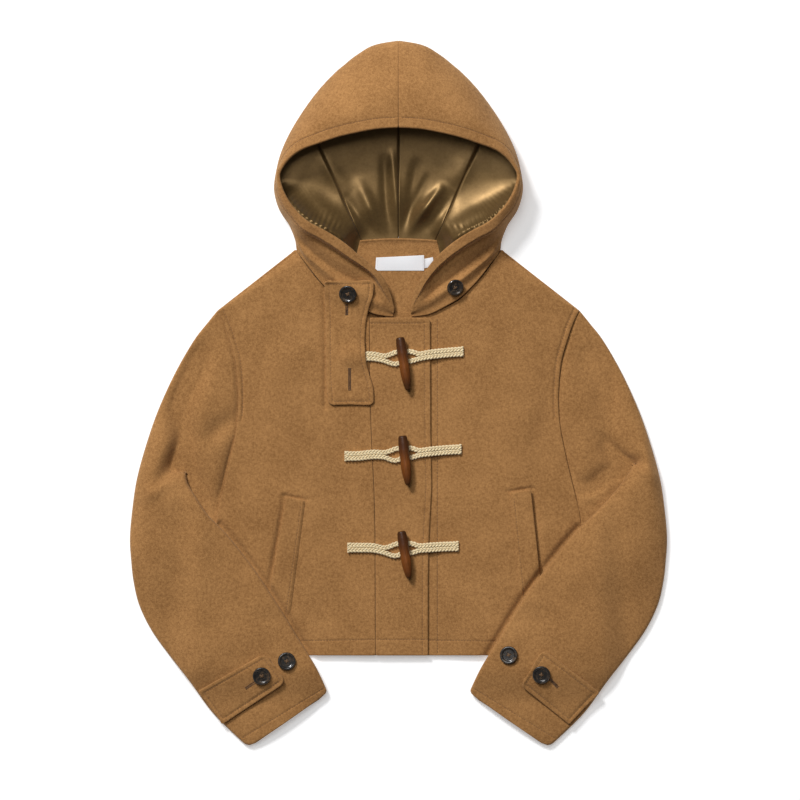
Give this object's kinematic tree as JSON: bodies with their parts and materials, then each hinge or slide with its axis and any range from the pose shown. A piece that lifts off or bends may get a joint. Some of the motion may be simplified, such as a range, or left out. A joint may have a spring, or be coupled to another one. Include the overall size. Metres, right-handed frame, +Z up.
{
  "type": "duffle coat",
  "caption": "Cropped wool duffle coat laid flat on its back, hood up and open, sleeves folded in over the hem, with toggle closings and cuff straps.",
  "frame": {"origin": "centre of the laid-out coat's outline, on the surface that it lies on", "axes": "+Y from the hem to the top of the hood, +X to the viewer's right, +Z up from the surface towards the viewer"},
  "size_m": [0.6712, 0.8832, 0.064],
  "materials": {
    "wool": "brushed camel wool, matt",
    "lining": "olive-brown satin, glossy",
    "cord": "cream braided cord, matt",
    "wood": "dark red-brown stained wood, polished",
    "button": "near-black horn look, polished",
    "label": "white woven tape, matt"
  },
  "bodies": {
    "root": {"back": "wool", "front_viewer_left": "wool", "front_viewer_right": "wool", "placket": "wool", "pocket_welt_viewer_left": "wool", "pocket_welt_viewer_right": "wool", "sleeve_viewer_left": "wool", "sleeve_viewer_right": "wool", "hood_viewer_left": "wool", "hood_viewer_right": "wool", "lining_centre_viewer_left": "lining", "lining_side_viewer_left": "lining", "lining_centre_viewer_right": "lining", "lining_side_viewer_right": "lining", "neck_facing": "wool", "main_label": "label", "size_label": "label", "loop_cord_1": "cord", "toggle_cord_1": "cord", "toggle_1": "wood", "loop_cord_2": "cord", "toggle_cord_2": "cord", "toggle_2": "wood", "loop_cord_3": "cord", "toggle_cord_3": "cord", "toggle_3": "wood", "throat_tab": "wool", "cuff_strap_viewer_left": "wool", "cuff_strap_viewer_right": "wool", "button_tab": "button", "button_neck": "button", "button_strap_viewer_left_1": "button", "button_strap_viewer_left_2": "button", "button_strap_viewer_right_1": "button", "button_strap_viewer_right_2": "button"}
  },
  "joints": []
}
